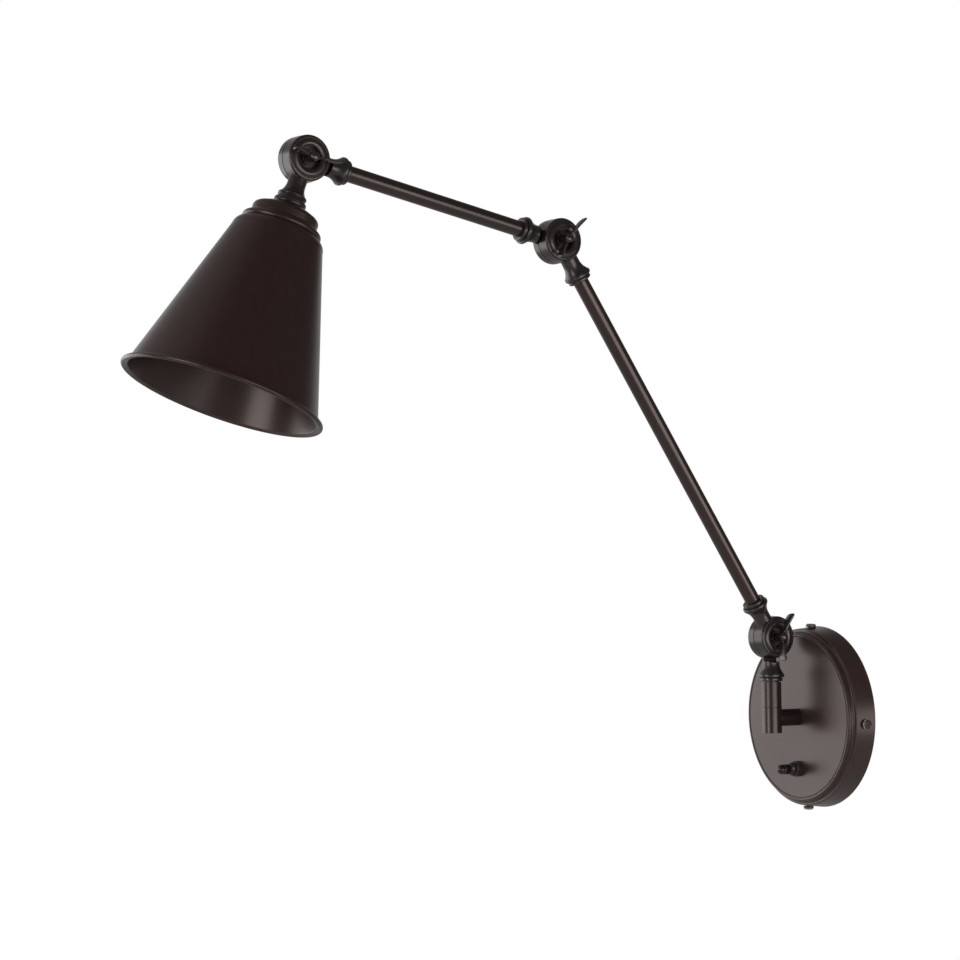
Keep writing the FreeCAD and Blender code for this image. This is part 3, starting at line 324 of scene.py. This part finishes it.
def finished_piece(thing, place, material, smooth=40):
    """Moves a piece's mesh to its place, gives it its material and smooths its low edges."""
    thing.data.transform(place)
    thing.data.materials.clear()
    thing.data.materials.append(material)
    bpy.ops.object.select_all(action="DESELECT")
    thing.select_set(True)
    bpy.context.view_layer.objects.active = thing
    bpy.ops.object.shade_smooth_by_angle(angle=radians(smooth))
    bpy.ops.object.select_all(action="DESELECT")


def joint_named(name):
    """Record of one joint."""
    return next(joint for joint in frame["joints"] if joint["name"] == name)


def frame_on(origin, axis, side):
    """Place whose Z runs along an axis, with X as near to side as that allows."""
    up = Vector(axis).normalized()
    across = (Vector(side) - up * up.dot(Vector(side))).normalized()
    return Matrix.Translation(Vector(origin)) @ Matrix((across, up.cross(across), up)).transposed().to_4x4()


switch_paint = bronze_paint("switch_paint", (0.012, 0.010, 0.010), dull=0.24, cloud=120.0, wear=0.8,
                            pale_colour=(0.16, 0.14, 0.12))
switch_joint = joint_named("switch_turn")
across_wall, up_wall = switch_joint["pos_m"][0], switch_joint["pos_m"][2]
switch_place = frame_on((across_wall, 0, up_wall), switch_joint["axis"], (1, 0, 0))

knob = lathe("turned_knob", KNOB_SIDES, KNOB_PROFILE)
finished_piece(knob, switch_place, switch_paint)
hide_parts("switch_knob")
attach(knob, "switch_spindle")

ring_nut = lathe("knurled_ring_nut", RING_NUT_SIDES, RING_NUT_PROFILE, closed=True)
ribbed(ring_nut, RING_NUT_SIDES, KNURL_DEPTH, KNURL_LOW, KNURL_HIGH, KNURL_REACH)
finished_piece(ring_nut, switch_place, switch_paint, smooth=25)
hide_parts("switch_ring_nut")
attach(ring_nut, "wall_mount")

coat(switch_paint, "switch_knob", "switch_ring_nut", "switch_bushing", "switch_shaft")
moulding = bare_surface("black_moulding", metal=0.0, colour=(0.022, 0.021, 0.021),
                        stain=(0.014, 0.014, 0.014), worn=(0.05, 0.05, 0.05), dull=0.42, bump=0.08)
coat(moulding, "switch_housing")


# Post, fixed barrel and swivel: turned steel, painted. The post is brazed to the side of the
# lower barrel. The upper barrel turns on it and holds the base knuckle's back half in its top.

barrel_paint = bronze_paint("barrel_paint", (0.017, 0.0110, 0.0095), dull=0.27, peel=0.02, cloud=30.0,
                            edge=0.2, ior=1.58)
coat(barrel_paint, "post_tube", "fixed_barrel", "barrel_plug", "swivel_barrel")


# Knuckles: two cast halves that turn on a wing screw, coloured darker than the sheet, partly as painted
# shade. A fibre washer lies between them, and the screw threads into a brass insert in the back half.

CASTING_GLOSS_TINT = (1.0, 0.93, 0.90)

casting_paint = bronze_paint("casting_paint", (0.016, 0.0120, 0.0110), dull=0.27, cloud=40.0,
                             pale_colour=(0.11, 0.080, 0.065), edge=0.2, ior=1.62, gloss_tint=CASTING_GLOSS_TINT)
coat(casting_paint, "base_back_half", "base_front_half", "elbow_front_half", "elbow_back_half",
     "head_back_half", "head_front_half", "neck_collar")
brass = bare_surface("brass", metal=1.0, colour=(0.72, 0.52, 0.25), stain=(0.50, 0.33, 0.15),
                     worn=(0.83, 0.66, 0.38), dull=0.30)
coat(brass, "base_insert", "elbow_insert", "head_insert", "holder_contact")
fibre = bare_surface("friction_fibre", metal=0.0, colour=(0.020, 0.017, 0.016), stain=(0.012, 0.010, 0.010),
                     worn=(0.05, 0.045, 0.04), dull=0.7)
coat(fibre, "base_friction_washer", "elbow_friction_washer", "head_friction_washer")


# Wing screws: die-cast thumb screws, a slim hub with a domed end and two leaf-shaped wings
# swept up from it. The paint is rubbed off along the wings, where fingers turn them.

HUB_SIDES, HUB_RADIUS, ROOT_LOW, ROOT_HIGH = 12, 3.0, 11.2, 13.3
ROOT_DISTANCE, ROOT_HALF_WIDTH = 2.7, 1.0
HUB_PROFILE = ((0.3, -5.7), (2.5, -5.7), (2.5, 6.05), (HUB_RADIUS, 6.05), (HUB_RADIUS, 9.4),
               (HUB_RADIUS, ROOT_LOW), (HUB_RADIUS, ROOT_HIGH), (2.75, 14.4), (1.9, 15.0), (0.9, 15.2),
               (0.3, 15.25))
# Heights are measured from the wing's joint. Each station of a wing has its distance from the
# screw's axis, the heights of its lower and upper edges, and its thickness.
WING_STATIONS = ((4.6, 10.6, 15.8, 1.7), (7.0, 10.8, 16.4, 1.6), (10.0, 10.7, 17.6, 1.5),
                 (12.6, 10.9, 19.3, 1.5), (14.6, 12.2, 20.35, 1.4), (16.2, 15.0, 20.3, 1.1))
# Each screw stands turned up by its own angle from the way out of the wall, as photographed.
WING_ANGLES = (("base", 104.0), ("elbow", 126.5), ("head", 11.0))
UPWARD = Vector((0, 0, 1))
OUTWARD = Vector(joint_named("base_wing_turn")["axis"]).cross(UPWARD)

wing_paint = bronze_paint("wing_paint", (0.015, 0.011, 0.010), dull=0.24, cloud=60.0, wear=0.9,
                          pale_colour=(0.17, 0.13, 0.105), edge=0.2, ior=1.7, gloss_tint=CASTING_GLOSS_TINT)


def draw_wing(screw, side):
    """Draws one wing out of the hub, station by station."""
    pick_faces(screw, lambda middle: (side * middle.x > ROOT_DISTANCE and abs(middle.y) < ROOT_HALF_WIDTH
                                      and ROOT_LOW < middle.z < ROOT_HIGH))
    reach = HUB_RADIUS
    for next_reach, low, high, thick in WING_STATIONS:
        draw_out(side * (next_reach - reach), 0, 0)
        reach = next_reach
        bpy.ops.object.mode_set(mode="OBJECT")
        end = [vertex.co.copy() for vertex in screw.data.vertices if vertex.select]
        bpy.ops.object.mode_set(mode="EDIT")
        middle = sum(end, Vector()) / len(end)
        deep, wide, tall = (max(values) - min(values) for values in zip(*end))
        if deep > SAME_POINT:
            bpy.ops.transform.resize(value=(0, 1, 1), center_override=(side * reach * MM, 0, middle.z))
        bpy.ops.transform.resize(value=(1, thick * MM / wide, (high - low) * MM / tall),
                                 center_override=middle)
        bpy.ops.transform.translate(value=(0, 0, (low + high) / 2 * MM - middle.z))
    bpy.ops.object.mode_set(mode="OBJECT")


for joint, angle in WING_ANGLES:
    screw = lathe(joint + "_thumb_screw", HUB_SIDES, HUB_PROFILE)
    screw.data.transform(Matrix.Rotation(radians(180 / HUB_SIDES), 4, "Z"))
    for side in (1, -1):
        draw_wing(screw, side)
    soften = screw.modifiers.new("soften", "SUBSURF")
    soften.levels = soften.render_levels = 2
    bpy.ops.object.modifier_apply(modifier="soften")
    wing_joint = joint_named(joint + "_wing_turn")
    along = OUTWARD * cos(radians(angle)) + UPWARD * sin(radians(angle))
    finished_piece(screw, frame_on(wing_joint["pos_m"], wing_joint["axis"], along), wing_paint, smooth=60)
    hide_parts(joint + "_wing_screw")
    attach(screw, joint + "_wing")
coat(wing_paint, "base_wing_screw", "elbow_wing_screw", "head_wing_screw")


# Arms: drawn steel tubes set into the knuckles' shanks and painted. Black flexible leads lie
# inside the post, the barrel, both arms and the head.

tube_paint = bronze_paint("tube_paint", (0.018, 0.0110, 0.0095), dull=0.23, peel=0.02, cloud=9.0, ior=1.6)
coat(tube_paint, "long_arm_tube", "short_arm_tube")
sheath = bare_surface("lead_sheath", metal=0.0, colour=(0.030, 0.030, 0.031), stain=(0.020, 0.020, 0.020),
                      worn=(0.06, 0.06, 0.06), dull=0.5, bump=0.1)
coat(sheath, "post_lead", "swivel_lead", "long_arm_lead", "short_arm_lead", "head_lead")


# Shade: spun steel with a rolled rim, under a cap and a beaded ring; a threaded nipple
# runs through all of them. Painted inside and out.

shade_paint = bronze_paint("shade_paint", (0.022, 0.0105, 0.0085), dull=0.30, peel=0.04, cloud=8.0)
coat(shade_paint, "shade", "shade_cap", "bead_ring")


# Lamp holder: a black moulded cup with a rolled screw shell of brass-plated metal inside,
# clamped to the shade by a moulded ring with finger ribs.

THREAD_PITCH, THREAD_TURNS, THREAD_DEPTH, THREAD_WALL = 3.629, 6, 0.7, 0.35
STEPS_A_TURN, SIDES_A_TURN, SAME_SEAM = 8, 72, 0.01 * MM
# The nut's heights run down the shade's axis from the head knuckle's centre. The mount of the
# bulb thread, which is the middle of the thread drawn here, lies at this height on that axis.
BULB_THREAD_STATION = 59.0
NUT_PROFILE = ((16.1, 47.6), (20.3, 47.6), (20.7, 48.0), (20.7, 50.2), (20.2, 50.8), (16.1, 50.8))
NUT_SIDES, RIB_DEPTH, RIB_LOW, RIB_HIGH, RIB_REACH = 60, 0.45, 47.9, 50.3, 20.5

thread_mount = next(mount for mount in frame["record"]["mounts"] if mount["name"] == "bulb_thread")
thread_place = frame_on(thread_mount["pos_m"], thread_mount["axis"], (1, 0, 0))
thread_radius = thread_mount["dims"]["r_mm"]

# A single point is drawn up in a wave, and the Screw modifier winds that wave round.
bpy.ops.mesh.primitive_plane_add(size=2 * MM)
shell = bpy.context.object
shell.name = "threaded_shell"
in_edit_mode(shell)
bpy.ops.mesh.merge(type="CENTER")
bpy.ops.transform.translate(value=(thread_radius * MM, 0, -THREAD_PITCH * (THREAD_TURNS + 1) / 2 * MM))
phase = tau / STEPS_A_TURN
for step in range(THREAD_TURNS * STEPS_A_TURN):
    draw_out(THREAD_DEPTH / 2 * (cos((step + 1) * phase) - cos(step * phase)), 0, THREAD_PITCH / STEPS_A_TURN)
bpy.ops.object.mode_set(mode="OBJECT")
winding = shell.modifiers.new("winding", "SCREW")
winding.screw_offset = THREAD_PITCH * MM
winding.steps = winding.render_steps = SIDES_A_TURN
winding.use_merge_vertices = True
winding.merge_threshold = SAME_SEAM
wall = shell.modifiers.new("wall", "SOLIDIFY")
wall.thickness = THREAD_WALL * MM
wall.offset = 0
for modifier in ("winding", "wall"):
    bpy.ops.object.modifier_apply(modifier=modifier)
in_edit_mode(shell)
bpy.ops.mesh.normals_make_consistent(inside=False)
bpy.ops.object.mode_set(mode="OBJECT")
finished_piece(shell, thread_place, brass, smooth=60)
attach(shell, "head")

finger_nut = lathe("ribbed_shade_nut", NUT_SIDES, NUT_PROFILE, closed=True)
ribbed(finger_nut, NUT_SIDES, RIB_DEPTH, RIB_LOW, RIB_HIGH, RIB_REACH)
knuckle_place = thread_place @ Matrix.Translation((0, 0, -BULB_THREAD_STATION * MM))
finished_piece(finger_nut, knuckle_place, moulding, smooth=25)
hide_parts("shade_nut")
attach(finger_nut, "head")

coat(moulding, "holder_body", "holder_insulator", "shade_nut")
coat(brass, "holder_shell")


# Stage: a pale floor far below and a white sweep behind, dim above. Three soft boxes
# stand at the lamp's own height: one to the left, two to the sides of the camera.

FLOOR_LEVEL, FLOOR_SIZE, FLOOR_GREY = -0.55, 12, (0.82, 0.82, 0.82, 1)
WHITE = (1, 1, 1, 1)
# In reflections the studio is dark but for two glows, each with its direction, its level,
# and how far a reflection agrees with that direction where the glow starts and is full.
DARK_STUDIO, DIFFUSE_LEVEL, FLOOR_IN_GLOSS = 0.10, 0.42, 0.42
BACKDROP, BACKDROP_LEVEL, BACKDROP_EDGE = (-0.93, 0.30, -0.15), 0.76, (0.5, 0.88)
UPPER_LEFT, UPPER_LEVEL, UPPER_EDGE = (-0.51, -0.49, 0.71), 0.40, (0.6, 0.93)


def one_or_other(tree, factor, one, other):
    """One shader, or the other where the factor is 1."""
    choose = tree.nodes.new("ShaderNodeMixShader")
    for socket, source in zip(choose.inputs, (factor, one, other)):
        tree.links.new(source, socket)
    return choose.outputs["Shader"]


bpy.ops.mesh.primitive_plane_add(size=FLOOR_SIZE, location=(0, 0, FLOOR_LEVEL))
floor = bpy.context.object
floor.name = "floor"
pale = bpy.data.materials.new("pale_floor")
pale.use_nodes = True
pale_tree = pale.node_tree
pale_shader = pale_tree.nodes["Principled BSDF"]
pale_shader.inputs["Base Color"].default_value = FLOOR_GREY
pale_shader.inputs["Roughness"].default_value = 0.9
floor_ray = pale_tree.nodes.new("ShaderNodeLightPath")
floor_look = pale_shader.outputs["BSDF"]
for seen_by, strength in (("Is Glossy Ray", FLOOR_IN_GLOSS), ("Is Camera Ray", 1.0)):
    white = pale_tree.nodes.new("ShaderNodeEmission")
    white.inputs["Strength"].default_value = strength
    floor_look = one_or_other(pale_tree, floor_ray.outputs[seen_by], floor_look, white.outputs["Emission"])
pale_tree.links.new(floor_look, pale_tree.nodes["Material Output"].inputs["Surface"])
floor.data.materials.append(pale)

world = bpy.data.worlds.new("studio")
world.use_nodes = True
bpy.context.scene.world = world
sky = world.node_tree
sky.nodes.clear()
direction = sky.nodes.new("ShaderNodeTexCoord").outputs["Generated"]
backdrop_glow = spread(sky, agreement(sky, direction, BACKDROP), DARK_STUDIO, BACKDROP_LEVEL, *BACKDROP_EDGE)
upper_glow = spread(sky, agreement(sky, direction, UPPER_LEFT), DARK_STUDIO, UPPER_LEVEL, *UPPER_EDGE)
level = sky.nodes.new("ShaderNodeMix")
level.inputs["A"].default_value = DIFFUSE_LEVEL
sky_ray = sky.nodes.new("ShaderNodeLightPath")
sky.links.new(sky_ray.outputs["Is Glossy Ray"], level.inputs["Factor"])
sky.links.new(combined(sky, "MAXIMUM", backdrop_glow, upper_glow), level.inputs["B"])
dim = sky.nodes.new("ShaderNodeBackground")
bright = sky.nodes.new("ShaderNodeBackground")
for background in (dim, bright):
    background.inputs["Color"].default_value = WHITE
sky.links.new(level.outputs["Result"], dim.inputs["Strength"])
sky_look = one_or_other(sky, sky_ray.outputs["Is Camera Ray"], dim.outputs["Background"],
                        bright.outputs["Background"])
sky.links.new(sky_look, sky.nodes.new("ShaderNodeOutputWorld").inputs["Surface"])

LAMPS_AIM = Vector((0.02, -0.22, 0.17))
for name, spot, width, height, power in (
        ("left_box", (-1.5, -1.3, 0.1), 1.6, 1.8, 18),
        ("camera_left_box", (0.50, -2.20, 0.25), 0.9, 1.1, 13),
        ("camera_right_box", (1.85, 0.15, -0.10), 1.9, 0.8, 14)):
    bpy.ops.object.light_add(type="AREA", location=spot)
    lamp = bpy.context.object
    lamp.name = name
    lamp.data.shape = "RECTANGLE"
    lamp.data.size = width
    lamp.data.size_y = height
    lamp.data.energy = power
    lamp.rotation_euler = (LAMPS_AIM - Vector(spot)).to_track_quat("-Z", "Y").to_euler()


# Camera: stands where the photograph was taken from, about level with the canopy. Its place,
# turn and lens were worked out from the canopy's circles, the shade's rim and the arms.

CAMERA_PLACE = Vector((1.2585, -0.9581, 0.0686))
CAMERA_YAW, CAMERA_PITCH, CAMERA_ROLL = radians(60.90), radians(3.38), radians(-0.63)
CAMERA_LENS, SENSOR_WIDTH = 87.2, 36.0
bpy.ops.object.camera_add(location=CAMERA_PLACE)
camera = bpy.context.object
camera.data.lens = CAMERA_LENS
camera.data.sensor_width = SENSOR_WIDTH
camera.rotation_euler = (Matrix.Rotation(CAMERA_YAW, 4, "Z")
                         @ Matrix.Rotation(radians(90) + CAMERA_PITCH, 4, "X")
                         @ Matrix.Rotation(CAMERA_ROLL, 4, "Z")).to_euler()
bpy.context.scene.camera = camera
bpy.context.scene.view_settings.view_transform = "Standard"
